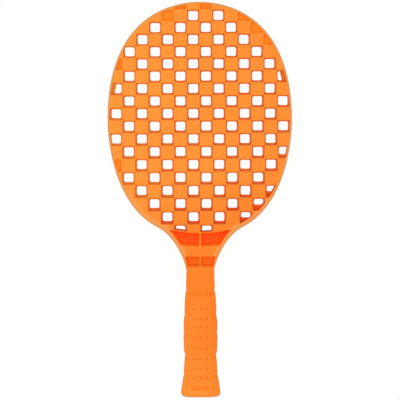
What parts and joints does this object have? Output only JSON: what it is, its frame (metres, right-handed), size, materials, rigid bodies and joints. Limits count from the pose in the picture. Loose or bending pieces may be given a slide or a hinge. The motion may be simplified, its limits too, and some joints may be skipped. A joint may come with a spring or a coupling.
{
  "type": "beach tennis racket",
  "caption": "Flat moulded beach tennis racket: oval head with a chequered lattice of square holes, windowed throat, short neck and a grooved grip that flares at its butt.",
  "frame": {"origin": "centre of the racket's length and width, at the height of the butt's lowest facet when the racket lies face up", "axes": "+Y along the racket from butt to tip, +Z out of the open-socketed hitting face, +X across the head to the right of the picture"},
  "size_m": [0.1818, 0.3938, 0.026],
  "materials": {
    "body_plastic": "fine satin moulding",
    "grip_rubber": "matt, grooved and dimpled",
    "cap_plastic": "fine satin moulding",
    "screw_steel": "zinc plated"
  },
  "bodies": {
    "root": {"racket_body": "body_plastic", "grip_sleeve": "grip_rubber", "butt_cap": "cap_plastic", "cap_screw": "screw_steel"}
  },
  "joints": []
}
